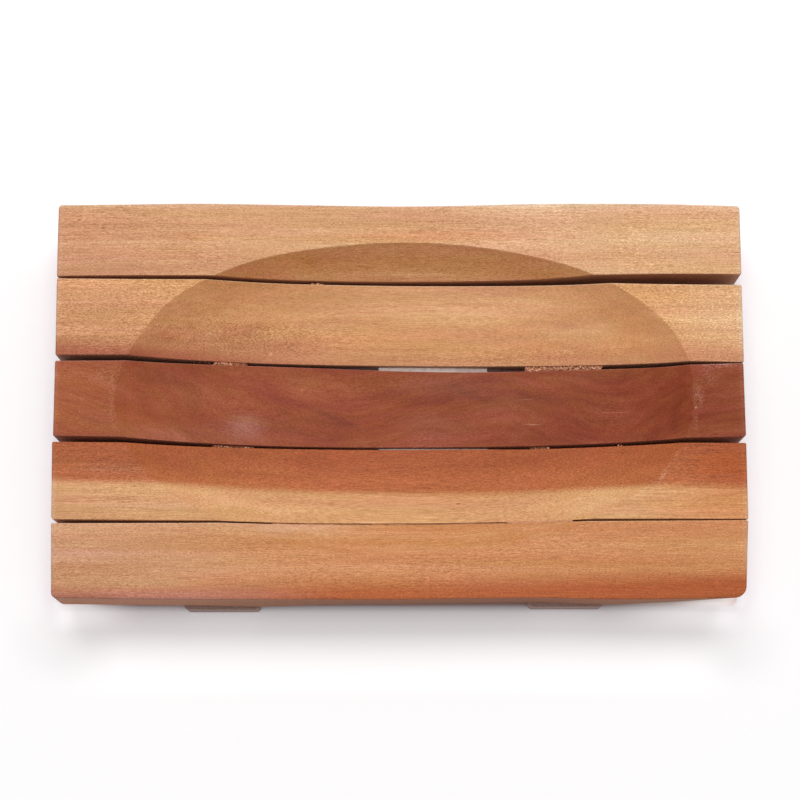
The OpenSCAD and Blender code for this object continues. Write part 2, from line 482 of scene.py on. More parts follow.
def wood(name, look, zones=()):
    # Long thin noise along X is the tone, streak and fibre of the wood, as long and as wide in mm
    # as the look says. It follows the run of the grain and wanders a little. On the ends it is
    # cut across and shows as dots.
    material, add, coords = newMaterial(name)
    axes = add("SeparateXYZ", [coords]).node.outputs
    spot = add("VectorMath ADD", [coords, tuple(v * mm for v in look["cut"])])
    run = add("CombineXYZ", {"Y": lineAlong(add, axes["X"], look["run"])})
    spot = add("VectorMath SUBTRACT", [spot, run])
    long, wide, sway = look["wander"]
    place = add("Mapping", {"Vector": spot, "Scale": (1000 / long, 1000 / wide, 1000 / wide)})
    bend = add("TexNoise", {"Vector": place, "Scale": 1.0, "Detail": 1.0, "Roughness": 0.4},
               out="Color")
    bend = add("VectorMath SUBTRACT", [bend, (0.5, 0.5, 0.5)])
    place = add("VectorMath MULTIPLY_ADD", [bend, (0, sway * mm, sway * mm), spot])
    layer = {}
    for part, (long, wide, detail) in look["layers"].items():
        spot = add("Mapping", {
            "Vector": place, "Location": (len(part), len(part) * 3.1, 1.7),
            "Scale": (1000 / long, 1000 / wide, 1000 / wide)})
        layer[part] = add("TexNoise", {
            "Vector": spot, "Scale": 1.0, "Detail": detail, "Roughness": 0.55})
    grain = {"add": add, "coords": coords, "axes": axes, "layer": layer}

    # from the deep to the pale colour of the wood, by tone and streak, and in broad bands
    # from a pinkish to a yellowish cast
    streakShare, hue = look["streakShare"], look["hue"]
    mixed = add("Math MULTIPLY", [layer["streak"], streakShare])
    mixed = add("Math MULTIPLY_ADD", [layer["tone"], 1 - streakShare, mixed])
    color = add("ValToRGB", [mixed])
    stops = color.node.color_ramp.elements
    stops[0].position, stops[0].color = 0.32, linear(look["deep"])
    stops[1].position, stops[1].color = 0.68, linear(look["pale"])
    stops.new(0.5).color = linear(look["body"])
    cast = add("MapRange", [layer["hue"], *fadeIn["hue"]])
    cast = add("Mix VECTOR", [
        cast, (1.015, 1 - 0.045 * hue, 1 + 0.06 * hue), (0.985, 1 + 0.03 * hue, 1 - 0.09 * hue)])
    color = add("VectorMath MULTIPLY", [color, cast])

    # the top is rougher where the plane tore the fibres, smoother in the sanded hollow
    flatTop = add("MapRange", [axes["Z"], *(v * mm for v in woodZ["top"])])
    torn = add("MapRange", [flatTop, 0, 1, look["tornInside"], look["tornTop"]])
    for zone in look["torn"]:
        torn = add("Math ADD", [torn, zoneMask(grain, zone)])

    # pale flecks of raised fibre in loose patches
    patch = add("MapRange SMOOTHSTEP", [layer["patch"], *fadeIn["patch"], 0.2, look["fleck"]])
    flecks = add("MapRange SMOOTHSTEP", [layer["fleck"], *fadeIn["fleck"]])
    for share in (torn, patch):
        flecks = add("Math MULTIPLY", [flecks, share], use_clamp=True)
    if zones:
        tint = layZones(grain, (1, 1, 1), zones, look["body"])
        color = add("VectorMath MULTIPLY", [color, tint])

    # growth rings on the cut ends: circles round the heart of the trunk, from pale early wood
    # to a dark edge
    heartY, heartZ = look["heart"]
    circle = add("VectorMath MULTIPLY_ADD", [bend, (0, 1.2 * mm, 1.2 * mm), coords])
    circle = add("VectorMath MULTIPLY_ADD", [circle, (0, 1, 1), (0, -heartY * mm, -heartZ * mm)])
    circle = add("VectorMath LENGTH", [circle])
    circle = add("Math DIVIDE", [circle, look["ringWidth"] * mm])
    circle = add("Math FRACT", [circle])
    circle = add("MapRange", [circle, 0, 1, 1.1, 0.84])
    circle = add("VectorMath SCALE", [look["endGrainTint"], circle])

    # the walls of the hollow get painted shade where they face away from the soft box, and
    # painted light where they face it; edges and ends are paler, partly rubbed and partly a
    # painted highlight where the rounded wood catches the light; sawn faces dull, with painted
    # light and shade on the front face of slat 5, and cut ends dark
    wall = add("MapRange SMOOTHSTEP", [axes["Z"], *(v * mm for v in woodZ["wall"])])
    share = {"hollow": add("Math SUBTRACT", [wall, flatTop], use_clamp=True)}
    for mark in ("arris", "sawn", "endGrain"):
        share[mark] = add("Attribute", out="Fac", attribute_name=mark)
    end = add("Math ABSOLUTE", [axes["X"]])
    share["end"] = add("MapRange SMOOTHSTEP", [end, (halfLength - 1.5) * mm, halfLength * mm])
    for mark in ("hollow", "arris", "end"):
        tint = add("Mix VECTOR", [share[mark], (1, 1, 1), look[mark + "Tint"]])
        color = add("VectorMath MULTIPLY", [color, tint])
    sawn = layZones(grain, linear(look["sawn"])[:3], look["sawnZones"])
    cut = add("VectorMath MULTIPLY", [color, circle])
    for mark, shade in (("sawn", sawn), ("endGrain", cut)):
        color = add("Mix VECTOR", [share[mark], color, shade])

    # fibres, pale flecks and dark pores, and short grit where the fibres are torn. All of them
    # lighten or darken the wood in one way, its blue the most and its red the least
    grit = add("Math SUBTRACT", [layer["grit"], 0.5])
    grit = add("Math MULTIPLY", [grit, torn])
    shade = add("Math MULTIPLY_ADD", [layer["fibre"], look["fibre"], -look["fibre"] / 2])
    pores = add("MapRange SMOOTHSTEP", [layer["pore"], *fadeIn["pore"], 0, look["pore"]])
    for mark, amount in ((grit, look["grit"]), (flecks, 0.7), (pores, -0.5)):
        shade = add("Math MULTIPLY_ADD", [mark, amount, shade])
    shade = add("VectorMath MULTIPLY_ADD", [shade, look["markTint"], (1, 1, 1)])
    color = add("VectorMath MULTIPLY", [color, shade])

    # relief: fibres stand up a few hundredths of a mm, pores are little grooves
    relief = add("Math MULTIPLY_ADD", [pores, -0.8, layer["fibre"]])
    bump = add("Bump", {"Height": relief, "Strength": look["relief"], "Distance": 0.05 * mm})
    rough = add("MapRange", [
        layer["fibre"], 0.3, 0.7, look["rough"] - 0.06, look["rough"] + 0.08])
    sheen = add("MapRange", [
        share["sawn"], 0, 1, look["sheen"], look["sheen"] * look["sawnSheen"]])
    shader = add("BsdfPrincipled", {
        "Base Color": color, "Roughness": rough, "Normal": bump, "IOR": 1.5,
        "Specular IOR Level": sheen})
    add("OutputMaterial", [shader])
    return material


# real sizes in mm of the marks in the wood: length along the grain, width across, detail.
# Fibre and grit are drawn at 0.11 mm, about three times the real fibre, so that they show
grainLayers = {
    "tone": (80, 3.2, 1),
    "streak": (44, 0.8, 1),
    "hue": (34, 2.2, 1),
    "fibre": (6, 0.1, 0),
    "grit": (0.42, 0.11, 0),
    "fleck": (1.3, 0.12, 0),
    "patch": (24, 1.5, 1),
    "pore": (2, 0.16, 1),
    "dust": (0.34, 0.28, 1),
}
# What most of the slats share. run is the line the grain follows, wander how it strays: length,
# width, amount. markTint is how strong the marks are in red, green and blue. A wood's deep, body
# and pale are its colours, under its zones; streakShare is the share of narrow streaks in them,
# and hue how far the cast changes. fibre, grit, pore, fleck and torn are the strength of these
# marks. cut moves the noise, in mm, so that each slat has its own figure, and heart is y and z of
# the rings' middle. The tints multiply the colour where they say: hollowTint is painted shade
# and light on the wall of the hollow, and arrisTint and endTint are partly a painted highlight.
commonWood = {
    "layers": grainLayers, "run": [(-66, 0), (66, 0)], "wander": (60, 30, 0.6),
    "markTint": (0.75, 1, 1.32), "pore": 0.3, "relief": 0.4, "rough": 0.6, "sawnSheen": 1,
    "hollowTint": (1, 1, 1), "endGrainTint": (0.8, 0.74, 0.68), "torn": [], "sawnZones": [],
}
woods = {}
zones = {}  # what lies over the colour of each slat, from the first to the last
# pale sapwood, planed and sanded: straight fine fibres, a little paler to the right
# its strong hollowTint is painted shade on the back wall of the hollow, away from the soft box
woods["slat_1_back"] = dict(commonWood,
    material="sanded pale camphor sapwood", slot="pale_sapwood", cut=(0, 0, 0), deep="#C88F65",
    body="#D19A6E", pale="#D9A77C", streakShare=0.3, hue=0.5, fleck=0.35, tornTop=1,
    tornInside=0.85, fibre=0.65, grit=1.1, pore=0.35, sheen=0.25, hollowTint=(0.85, 0.7, 0.54),
    arrisTint=(1.04, 1.1, 1.2), endTint=(1.02, 1.12, 1.3), sawn="#BC8768", heart=(44, -60),
    ringWidth=2.1,
    torn=[oval(50, 29, 20, 10, amount=0.2)],
)
zones["slat_1_back"] = [
    oval(80, 30, 76, 16, "#D8A578", soft=0.8),
    oval(27, 36, 24, 6, "#DEB28A", 0.6),
    oval(-72, 29, 44, 16, "#CC926A"),
    oval(-64, 25.5, 44, 5, "#C9936F", 0.45),
    oval(-28, 36, 26, 4, "#DAA478", 0.6),
    oval(-17, 26.4, 3.4, 2.2, "#BC8840", 0.4),
    oval(-1.4, 28.5, 0.9, 0.16, "#E8BE92", 0.6, soft=0.7),
    oval(0.4, 28.2, 0.7, 0.13, "#E8BE92", 0.5, soft=0.7),
    oval(-60.9, 34.6, 0.55, 0.3, "#9A6238", 0.7, soft=0.6),
    oval(-56.3, 33, 0.35, 0.25, "#9A6238", 0.7, soft=0.6),
    oval(59.5, 36.2, 3.5, 1, "#B98458", 0.5, speckled=True),
    oval(4, 31.2, 31, 1.9, (0.94, 0.8, 0.66), 0.9),
    oval(-5, 35.5, 30, 2.2, (1.02, 1.06, 1.08), 0.8),
    oval(-44, 28, 10, 3, (0.99, 0.99, 0.92)),
    oval(55, 30, 12, 6, (1, 1.02, 1.06)),
    # a pale band along the back edge: partly rubbed, partly a painted highlight on its rounding
    past("back", [(-66, 37.05), (66, 37.05)], (1.07, 1.22, 1.45), soft=1.1, ragged=0.1),
    oval(-39, 31, 7, 1.6, (0.98, 0.95, 0.88)),
    oval(-22, 27, 11, 3, (1.07, 1.12, 1.1)),
    oval(0, 37, 22, 1.2, (1.02, 1.06, 1.08)),
]
# golden wood that turns red along the front and at the left
woods["slat_2"] = dict(commonWood,
    material="sanded golden camphor wood", slot="golden_wood", cut=(310, 20, 7), deep="#C78958",
    body="#D29460", pale="#DBA06B", streakShare=0.45, hue=0.45, fleck=0.5, tornTop=1.2,
    tornInside=0.5, wander=(60, 30, 0.7), fibre=0.6, grit=1.25, sheen=0.25,
    hollowTint=(0.97, 0.94, 0.92), arrisTint=(1.04, 1.28, 1.7), endTint=(1.03, 1.18, 1.4),
    sawn="#BA9078", heart=(8, -48), ringWidth=2,
    torn=[
        oval(-30, 13, 32, 5.5, amount=0.85),
        oval(20, 9.5, 34, 3, amount=0.5),
    ],
)
zones["slat_2"] = [
    oval(-64, 16, 46, 11, "#C58A5E"),
    # paler deep in the hollow: partly paler wood, partly painted light on the hollow's wall
    oval(10, 20, 50, 9, "#E4AB7B"),
    oval(68, 16, 26, 14, "#DBA77A", soft=0.8),
    oval(34, 14.5, 12, 3.5, "#E2AF82", 0.5, soft=0.95),
    past("front", [(-66, 13.4), (-45, 13), (-20, 12), (10, 10.8), (66, 9.2)],
         "#C78A5F", soft=4.5),
    oval(-30, 12, 22, 6, "#B97C54", 0.8, soft=0.95),
    past("front", [(-66, 11), (-54, 10.4), (-45, 10), (-36, 9.6), (-28, 8.6), (-18, 7.8),
         (2, 6.8), (66, 6)], "#A65C40", soft=3.4),
    oval(-13, 19, 24, 1.6, (0.95, 0.9, 0.93), 0.9),
    oval(-14, 15.5, 10, 1.6, (0.98, 1, 1.1)),
    oval(-43.5, 12.5, 5, 2, (0.96, 0.9, 0.86)),
    oval(33.5, 15.3, 7, 1.5, (0.95, 0.93, 0.9)),
    oval(18, 12.8, 18, 1.4, (0.97, 0.99, 1.08)),
    oval(24, 9.3, 20, 1, (0.92, 0.85, 0.87)),
    oval(58, 16, 7, 1.2, (0.95, 0.91, 0.93)),
    oval(-6, 16.8, 12, 1.8, (0.94, 0.88, 0.89)),
    oval(-45, 12.2, 6, 1.8, (0.95, 0.9, 0.9)),
    oval(34, 11.4, 8, 1.6, (0.93, 0.9, 0.95)),
]
# dark heartwood: fine close figure that sinks to the right, then bends up in a bow
woods["slat_3_middle"] = dict(commonWood,
    material="sanded dark camphor heartwood", slot="dark_heartwood", cut=(520, 60, 19),
    deep="#823D28", body="#8F482D", pale="#9B5439", streakShare=0.4, hue=1,
    markTint=(0.6, 1, 1.32), fleck=0.12, tornTop=0.85, tornInside=0.8,
    run=[(-66, 14), (-50, 10), (-30, 2), (-15, -1), (5, 1), (20, 3), (32, 0), (40, -2), (50, 0),
         (58, 2), (66, 3)],
    wander=(18, 9, 5.5), layers=dict(grainLayers, tone=(17, 5.5, 2), streak=(14, 1.3, 2)),
    fibre=0.8, grit=1.15, sheen=0.12, arrisTint=(1.08, 1.5, 2.3), endTint=(1.14, 1.45, 1.9),
    sawn="#9A6A5A", endGrainTint=(0.72, 0.68, 0.66), heart=(-3, -12), ringWidth=1.6,
)
zones["slat_3_middle"] = [
    oval(-72, 0, 38, 18, "#A85E3B"),
    oval(-24, 2, 34, 9, "#9D5437", 0.8),
    oval(-38, -6, 26, 3.5, "#A05E40", 0.7, soft=0.95),
    oval(11, 4.5, 18, 3.5, "#8F5038", 0.9, soft=0.95),
    oval(7, -4, 10, 5, "#93503A", 0.6),
    oval(32, -5, 18, 4, "#823D26", 0.9, soft=0.95),
    oval(32, 5, 14, 3, "#985136", 0.7, soft=0.95),
    oval(56, 0, 24, 12, "#843C22", 0.9),
    oval(-18, -5.5, 8, 1.6, "#7E4236", 0.2, turn=-12),
    oval(-29.5, -4.2, 5.6, 4.2, "#B98878", 0.24, soft=0.95),
    oval(-28.8, -4.2, 5, 3.2, "#B98878", 0.2, soft=0.95, speckled=True),
    oval(-55.4, 4.6, 3.6, 2.4, "#B98060", 0.4, soft=0.95, speckled=True),
    oval(-53.9, 0, 0.7, 9, "#BC8464", 0.35, speckled=True),
    oval(56.2, 0.7, 1.7, 3.6, "#B8846A", 0.5, soft=0.95, speckled=True),
    oval(58.2, 4.6, 3, 3.6, "#B47C60", 0.35, soft=0.95, speckled=True),
    oval(55.6, -4, 0.6, 3, "#B88468", 0.4, speckled=True),
    oval(55.7, -1.7, 0.3, 0.24, "#D8AE90", 0.4, soft=0.6),
    oval(25.5, -3.4, 2.2, 0.18, "#CF9A7C", 0.28, soft=0.7, turn=-4),
    oval(24.2, 1.5, 2.4, 0.12, "#C08A6A", 0.35, soft=0.8, turn=3),
    oval(41, -1.6, 4.2, 0.12, "#C08A6A", 0.3, soft=0.8, turn=-3),
    oval(-43, 4.3, 10, 2.6, (0.87, 0.83, 0.87), turn=-12),
    oval(-48, -3, 7, 3.6, (1.08, 1.07, 1)),
    oval(-18, 3.6, 5.5, 3.4, (1.06, 1.17, 1.08)),
    oval(21, 1.5, 17, 3.2, (0.92, 1, 1.1)),
    oval(38, -5, 15, 1.8, (1.08, 1.06, 1)),
    oval(37, 5.6, 13, 1.3, (0.97, 1.06, 1.06)),
    oval(-12, -2.1, 8, 1.1, (0.84, 0.86, 0.96), turn=-22),
    oval(13.3, 2.9, 7, 1.2, (0.88, 0.92, 1), turn=-24),
    oval(55.2, 2.8, 2, 4, (1.14, 1.24, 1.3), 0.8),
    oval(61, 6.4, 5, 0.7, "#C08A70", 0.5, speckled=True),
    oval(-39.5, 0.6, 5, 2.4, (0.92, 0.91, 0.96)),
    oval(5.6, 2.4, 5, 2, (1, 1.06, 1.14)),
    oval(39, -0.4, 6, 1.8, (0.94, 1, 0.98)),
    oval(38, 7, 6, 1.2, (1.04, 1.11, 1.06)),
    oval(-58, -4, 6, 2.4, (1.04, 1.1, 1.2)),
    oval(-28, -3.4, 14, 2.2, (1.04, 1.13, 1.2), 0.9),
    oval(12, -4.2, 9, 1.8, (0.93, 0.93, 0.9)),
    oval(57.5, -4, 6, 2.2, (0.96, 0.88, 0.88)),
]
# two tones: red heart at the back, pale sapwood at the front
woods["slat_4"] = dict(commonWood,
    material="sanded two tone camphor wood", slot="two_tone_wood", cut=(700, 90, 31),
    deep="#CB9465", body="#D59E6D", pale="#DDA979", streakShare=0.35, hue=0.45, fleck=0.35,
    tornTop=0.75, tornInside=0.5, fibre=0.95, grit=1, sheen=0.22, hollowTint=(1.01, 1.03, 1.03),
    arrisTint=(1.04, 1.06, 1.12), endTint=(1.05, 1.25, 1.55), sawn="#DAA888", heart=(-4, -40),
    ringWidth=1.9,
    torn=[
        oval(-50, -17.5, 16, 5.5, amount=0.25),
        past("back", [(-66, -14.7), (-30, -16.3), (14, -17.2), (66, -16.5)], soft=2, amount=0.6),
    ],
)
zones["slat_4"] = [
    oval(68, -20, 30, 8, "#D18D58", soft=0.8),
    oval(-66, -20, 22, 6, "#CC9468"),
    oval(4, -18, 34, 1.8, "#C98A5B", 0.5),
    oval(-54.5, -18.4, 0.5, 1.4, "#B77A50", 0.5, turn=25, speckled=True),
    oval(-52.6, -20.2, 1.2, 0.4, "#B77A50", 0.5, turn=12, speckled=True),
    oval(11.2, -19, 0.6, 0.22, "#8E5632", 0.7, soft=0.5),
    past("back", [(-66, -15.35), (-56, -15.75), (-44, -15.9), (-30, -16.4), (-9, -16.9), (14, -17.15),
         (36, -16.7), (47, -16.55), (66, -16.4)], "#B16439", soft=2, ragged=0.12),
    past("back", [(-66, -10.6), (-30, -12), (10, -13.6), (40, -12.4), (66, -12)],
         "#A4552D", soft=5),
    oval(-46, -11, 32, 5.5, "#98502E", 0.35, soft=0.95),
    oval(66, -14, 18, 6.5, "#A85024", 0.8, soft=0.95),
    oval(49.2, -14.6, 0.55, 2.9, "#DDA884", 0.55, soft=0.95, turn=-33, speckled=True),
    oval(60, -12, 9, 3.6, (0.98, 0.87, 0.63), 0.9),
    oval(-54, -13.3, 10, 2, (0.97, 1.05, 1.3)),
    oval(-17, -11.6, 8, 3.4, (0.93, 0.88, 0.88)),
    oval(-47, -20.5, 14, 1.6, (0.96, 0.95, 1.04)),
    # painted highlights along the rim of the hollow
    oval(51.7, -10.6, 0.5, 2.4, (1.06, 1.13, 1.25), turn=-32),
    oval(45.2, -17.6, 0.5, 4.6, (1.05, 1.08, 1.13), turn=-54),
]
# pale wood whose bands turn orange red towards the front edge
woods["slat_5_front"] = dict(commonWood,
    material="sanded banded camphor wood", slot="banded_wood", cut=(930, 130, 43), deep="#C17D4C",
    body="#C88655", pale="#D09163", streakShare=0.4, hue=0.5, fleck=0.4, tornTop=1,
    tornInside=0.8, wander=(70, 30, 0.6), fibre=0.6, grit=1.05, sheen=0.22,
    hollowTint=(1.03, 1.08, 1.13), arrisTint=(1.02, 1.18, 1.4), endTint=(0.98, 1.18, 1.5),
    # its sawn front face is matt, and the grey in its sawn colour is a painted reflection of the pale
    # floor; the zones of the sawn face paint shade in its middle and light at its left
    sawn="#B07E62", sawnSheen=0.1, heart=(-52, -50), ringWidth=2.2,
    sawnZones=[
        oval(10, -37.7, 56, 4, (0.8, 0.73, 0.75), soft=0.8),
        oval(-62, -37.7, 40, 4, (1.18, 1.13, 1.2), soft=0.7),
    ],
)
zones["slat_5_front"] = [
    oval(-74, -31, 62, 13, "#CD9976"),
    past("back", [(-66, -24.8), (0, -25), (66, -24.2)], "#D39F76", soft=2.8, amount=0.7,
         fade=(-22, 2)),
    oval(-62, -31.5, 36, 4, "#C0855E", 0.8, soft=0.95),
    past("front", [(-66, -36.4), (-45, -36.7), (-28, -35.8), (-10, -34.8), (25, -34.2), (45, -33.2),
         (66, -32.8)], "#AD582C", soft=4.4),
    past("front", [(-66, -35.4), (-45, -36.2), (-28, -35.4), (66, -34)], "#B07257", soft=4,
         fade=(-42, -8)),
    # a painted highlight along the rim of the hollow
    oval(28.3, -24.8, 6.8, 0.5, (1.06, 1.12, 1.2), 0.9, turn=18.3),
    oval(28, -25.8, 9, 1.6, (1.02, 1.07, 1.1)),
    oval(-22, -25.5, 10, 1.6, (1, 1.05, 1.14)),
    oval(-48, -29.8, 10, 1.4, (0.97, 0.94, 0.88)),
    oval(55, -33, 8, 2.5, (1.02, 1.07, 1.12)),
    oval(-45, -34.6, 10, 1.5, (1, 1.07, 1.08)),
    # painted shade along the front edge
    past("front", [(-66, -37), (-45, -37.2), (10, -37.25), (40, -37.2), (58, -36.9), (66, -36.3)],
         (0.85, 0.84, 0.85), soft=0.8, ragged=0.1),
    oval(-23, -24.4, 7, 0.9, (1, 1.02, 1.1)),
    oval(28, -24, 5, 0.8, (1, 1.02, 1.1)),
    oval(-60, -36.9, 14, 1.4, (0.85, 0.74, 0.62), 0.8),
    oval(44, -34.2, 12, 1.8, (1.03, 1.1, 1.12)),
]
for name, look in woods.items():
    slatPieces[name].data.materials.append(wood(look["material"], look, zones[name]))


# sawn batten wood, a little rougher than the slats; its grey lilac colours are partly painted,
# the cool tint of the shade the battens stand in
battenWood = dict(commonWood,
    cut=(150, 300, 70), deep="#A0867A", body="#AE9387", pale="#B99E92", streakShare=0.45, hue=0.6,
    fleck=0.3, tornTop=1, tornInside=1, wander=(60, 30, 0.7), fibre=0.8, grit=0.7, relief=0.5,
    rough=0.65, sheen=0.2, arrisTint=(1, 1, 1), endTint=(1, 1, 1), sawn="#AE9387",
    endGrainTint=(0.8, 0.76, 0.74), heart=(5, -30), ringWidth=1.8,
)
battenMaterial = wood("sawn camphor batten wood", battenWood)


def dress(nodeName, material):
    # a carried-over node keeps its mesh and gets the finish in its own slots
    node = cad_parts[nodeName]
    if not node.data.materials:
        node.data.materials.append(material)
    for spot in node.material_slots:
        spot.material = material


def plainSurface(name, look):
    # two tones in soft clouds, and fine grit or fibres in relief, by which the gloss of a metal
    # varies too. The label paper glows a little: painted light that brightens it in the shade
    # under the gaps
    material, add, coords = newMaterial(name)
    cloud, grit = (add("TexNoise", {"Vector": coords, "Scale": 1000 / look[size], "Detail": detail})
                   for size, detail in (("cloud", 3.0), ("grit", 2.0)))
    rough = look["rough"]
    if look["metallic"]:
        rough = add("MapRange", [grit, 0.3, 0.7, rough - 0.08, rough + 0.1])
    else:
        cloud = add("MapRange", [cloud, 0.35, 0.65])
    color = add("Mix RGBA", [cloud, linear(look["dark"]), linear(look["light"])])
    bump = add("Bump", {"Height": grit, "Strength": look["relief"], "Distance": look["depth"] * mm})
    shader = add("BsdfPrincipled", {
        "Base Color": color, "Metallic": look["metallic"], "Roughness": rough, "Normal": bump,
        "Specular IOR Level": look["specular"], "Emission Color": (1, 1, 1, 1),
        "Emission Strength": look["paintedGlow"]})
    add("OutputMaterial", [shader])
    return material


mattLook = {"rough": 0.8, "grit": 0.12, "depth": 0.03, "metallic": 0, "specular": 0.2, "paintedGlow": 0}
surfaceLooks = {
    # bright turned screws with a few dull spots
    "turned stainless steel": dict(
        mattLook, dark="#A9A8A4", light="#CFCECA", cloud=1.5, relief=0.3, rough=0.3, depth=0.02,
        metallic=1, specular=0.5),
    # cloudy white with short fibres pressed into it, and a little painted glow
    "matt label paper": dict(
        mattLook, dark="#E6D2C6", light="#FFF3E9", cloud=1.2, grit=0.15, relief=0.25, paintedGlow=0.085),
    # dull crumbs, pale pinkish brown and some darker
    "packed sanding dust": dict(mattLook, dark="#9C5E40", light="#E2A886", cloud=0.35, relief=0.5),
    # finer, nearly as pale as the pale slats
    "fine pale sanding dust": dict(mattLook, dark="#C08860", light="#DCA47C", cloud=0.5, relief=0.4),
    # from the wood on both sides of a closed gap, and from the heartwood; the dark dust is painted
    # dark for the shade deep in a gap
    "red sanding dust": dict(mattLook, dark="#9E5E42", light="#B8754F", cloud=0.4, relief=0.4),
    "dark sanding dust": dict(mattLook, dark="#3C2218", light="#7C4634", cloud=0.3, relief=0.5),
}
surfaces = {name: plainSurface(name, look) for name, look in surfaceLooks.items()}

finishes = {"screw": surfaces["turned stainless steel"], "batten": battenMaterial,
            "label": surfaces["matt label paper"]}
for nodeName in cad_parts:
    for part, finish in finishes.items():
        if part in nodeName:
            dress(nodeName, finish)
print("soap dish: finishes on", len(bpy.data.materials), "materials")


# Sanding dust that stayed in the gaps, in mm: the number of the slat behind the gap, where the
# dust starts and stops, how many crumbs, their least and greatest radius, how far below the edge
# the lowest lie, the part of the gap they lie in from front to back, how deep their bed is, and
# the kind of dust
dust = {
    "1_2": (1, -17, -14.2, 9, 0.1, 0.2, 0.1, (0, 0.25), 2, "packed"),
    "2_3_left": (2, -35.6, -32.2, 34, 0.13, 0.26, 0.4, (0, 1), 0.4, "packed"),
    "2_3_middle": (2, -32.4, -29.2, 24, 0.1, 0.17, 0.3, (0, 1), 0.2, "red"),
    # crumbs deep in the gap, in dust painted dark for the shade there
    "2_3_shaded": (2, -39.2, -35.8, 12, 0.14, 0.24, 1, (0, 1), 1.6, "dark"),
    "2_3_right": (2, 24.4, 38.8, 190, 0.15, 0.33, 0.7, (0, 1), 0.5, "packed"),
    "3_4_left": (3, -35.8, -27.6, 15, 0.1, 0.2, 0.6, (0, 0.5), 1.8, "packed"),
    "3_4_right": (3, 25, 29, 7, 0.1, 0.2, 0.6, (0, 0.5), 1.6, "packed"),
    "3_4_end": (3, 41.4, 42.2, 3, 0.1, 0.22, 0.1, (0, 0.3), 2, "packed"),
    "4_5_left": (4, -24, 20.4, 110, 0.08, 0.14, 0.6, (0, 1), 0.45, "fine pale"),
    "4_5_right": (4, 20.4, 32.6, 90, 0.1, 0.17, 0.15, (0, 1), 0.05, "fine pale"),
}


def crumbHeap(name, place, seed):
    # Each crumb is a ball, its radius multiplied by 1 + bumps * sin(3 * turn + a) *
    # sin(2 * rise + b), made a little flat and turned at random. The crumbs are strewn between
    # the two slat edges, over a bed that fills the gap and goes a hair into the slats
    gap, start, stop, count, small, large, sink, across, bedDepth, kind = place
    behind, ahead = list(slats.values())[gap - 1:gap + 1]
    around, upwards, bumps, flat, buried, hair = 10, 6, 0.22, 0.8, 0.7, 0.04
    rng = np.random.default_rng(seed)
    x = rng.uniform(start, stop, count)
    yFront = edgeAt(ahead["back"], x)
    yBack = edgeAt(behind["front"], x)
    radius = rng.uniform(small, large, count)
    y = yFront + (yBack - yFront) * rng.uniform(*across, count)
    z = hollow["topZ"] - hollowDepth(x, y) - hair - buried * radius - rng.uniform(0, sink, count)
    turns, rises = np.arange(around) / around * 2 * np.pi, np.linspace(0, np.pi, upwards)[1:-1]
    turn, rise = (grid.reshape(-1) for grid in np.meshgrid(turns, rises))
    turn, rise = np.append(turn, [0, 0]), np.append(rise, [0, np.pi])
    ball = np.stack([np.cos(turn) * np.sin(rise), np.sin(turn) * np.sin(rise), np.cos(rise)], -1)
    a, b = rng.uniform(0, 6.28, (2, count, 1))
    bump = 1 + bumps * np.sin(3 * turn + a) * np.sin(2 * rise + b)
    spin = rng.uniform(0, 6.28, (count, 1))
    stretch = rng.uniform(0.7, 1.25, (count, 3))
    local = ball[None] * bump[..., None] * radius[:, None, None] * stretch[:, None]
    points = np.stack([
        x[:, None] + local[..., 0] * np.cos(spin) - local[..., 1] * np.sin(spin),
        y[:, None] + local[..., 0] * np.sin(spin) + local[..., 1] * np.cos(spin),
        z[:, None] + local[..., 2] * flat], -1).reshape(-1, 3)
    cells, fans = ringFaces(len(rises), len(turns))
    faces = np.concatenate([cellTriangles(*cells), fans])
    faces = (faces[None] + len(ball) * np.arange(count)[:, None, None]).reshape(-1, 3)
    # the bed: a box section along the gap whose top is uneven, closed at both ends
    steps = 40
    along = np.linspace(start + 0.2, stop - 0.2, steps)
    low = edgeAt(ahead["back"], along) - hair
    high = edgeAt(behind["front"], along) + hair
    middle = (low + high) / 2
    top = hollow["topZ"] - hollowDepth(along, middle) - bedDepth - 0.2
    uneven = min(bedDepth, 0.25)
    top = top - uneven * (0.5 * np.sin(along * 5.1 + seed) + 0.4 * np.sin(along * 9.7))
    under = np.maximum(top - 1.2, slatMesh["underZ"])
    section = [(low, under), (low, top), (middle, top + 0.08), (high, top), (high, under)]
    bed = np.stack([np.stack([along, y, z], -1) for y, z in section], 1).reshape(-1, 3)
    cells, _ = ringFaces(steps, len(section))
    ends = np.array([[0, 2, 1], [0, 3, 2], [0, 4, 3]])
    farEnds = ends[:, ::-1] + len(section) * (steps - 1)
    bedFaces = np.concatenate([cellTriangles(*cells), ends, farEnds])
    everything = np.concatenate([faces, bedFaces + len(points)])
    piece = meshFromTriangles("dust_gap_" + name, np.concatenate([points, bed]), everything)
    piece.data.materials.append(surfaces[kind + " sanding dust"])
    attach(piece, "root")


for seed, (name, place) in enumerate(dust.items()):
    crumbHeap(name, place, seed + 3)
print("soap dish: sanding dust in", len(dust), "places")


